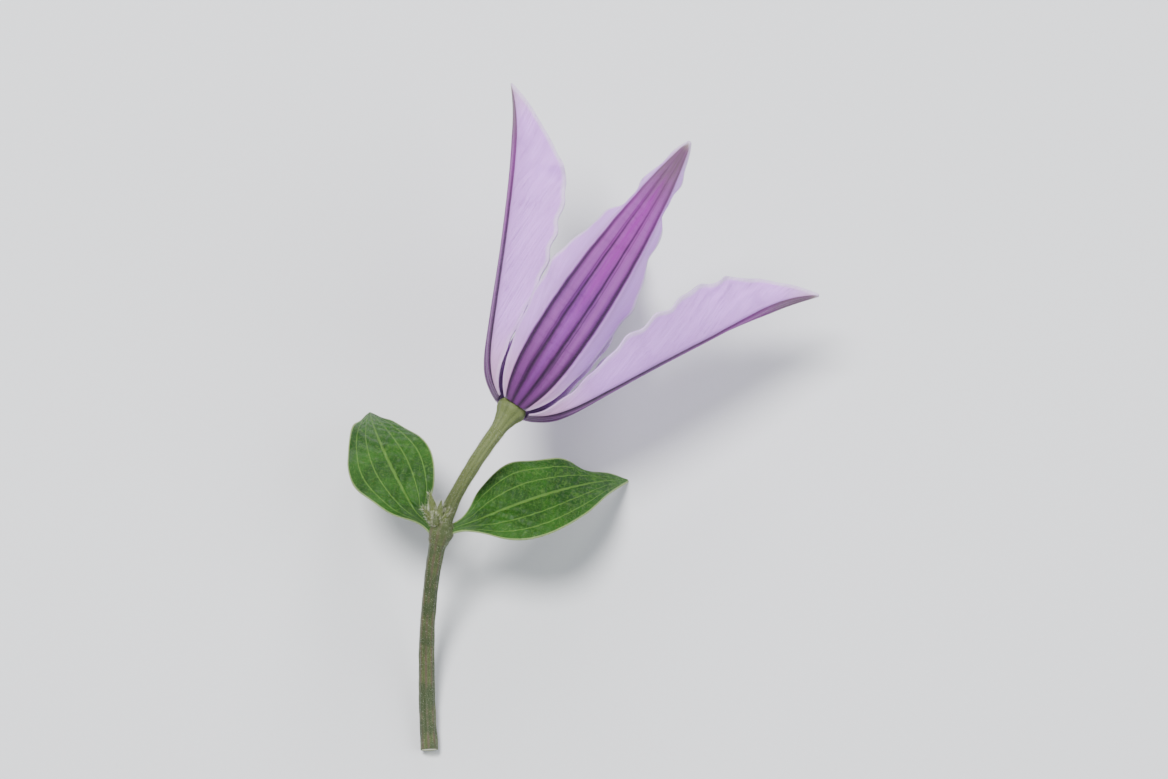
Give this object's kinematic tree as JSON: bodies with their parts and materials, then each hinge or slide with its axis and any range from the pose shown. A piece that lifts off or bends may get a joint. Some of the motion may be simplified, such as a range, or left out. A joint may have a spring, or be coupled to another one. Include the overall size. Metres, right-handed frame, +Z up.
{
  "type": "clematis flower",
  "caption": "Picked clematis flower of the nodding bell type: ribbed lilac tepals round a tuft of stamens, on a short curved stalk with a leaf pair, lying on its side.",
  "frame": {"origin": "middle of the footprint of the lying flower, on the surface that it rests on", "axes": "+Z up from the surface, +Y roughly from the cut end of the stalk towards the flower's mouth, +X to the right seen from above"},
  "size_m": [0.0944, 0.1276, 0.0687],
  "materials": {
    "tepal": "matte",
    "stalk": "matte",
    "leaf": "satin",
    "stamen": "matte",
    "pistil": "matte"
  },
  "bodies": {
    "root": {"flower_stalk": "stalk", "leaf_left": "leaf", "leaf_right": "leaf", "pistils": "pistil", "receptacle": "stalk", "stamen_inner_01": "stamen", "stamen_inner_02": "stamen", "stamen_inner_03": "stamen", "stamen_inner_04": "stamen", "stamen_inner_05": "stamen", "stamen_inner_06": "stamen", "stamen_inner_07": "stamen", "stamen_inner_08": "stamen", "stamen_inner_09": "stamen", "stamen_inner_10": "stamen", "stamen_inner_11": "stamen", "stamen_inner_12": "stamen", "stamen_inner_13": "stamen", "stamen_inner_14": "stamen", "stamen_outer_01": "stamen", "stamen_outer_02": "stamen", "stamen_outer_03": "stamen", "stamen_outer_04": "stamen", "stamen_outer_05": "stamen", "stamen_outer_06": "stamen", "stamen_outer_07": "stamen", "stamen_outer_08": "stamen", "stamen_outer_09": "stamen", "stamen_outer_10": "stamen", "stamen_outer_11": "stamen", "stamen_outer_12": "stamen", "stamen_outer_13": "stamen", "stamen_outer_14": "stamen", "stamen_outer_15": "stamen", "stamen_outer_16": "stamen", "stamen_outer_17": "stamen", "stamen_outer_18": "stamen", "tepal_left": "tepal", "tepal_right": "tepal", "tepal_top": "tepal", "tepal_under": "tepal"}
  },
  "joints": []
}
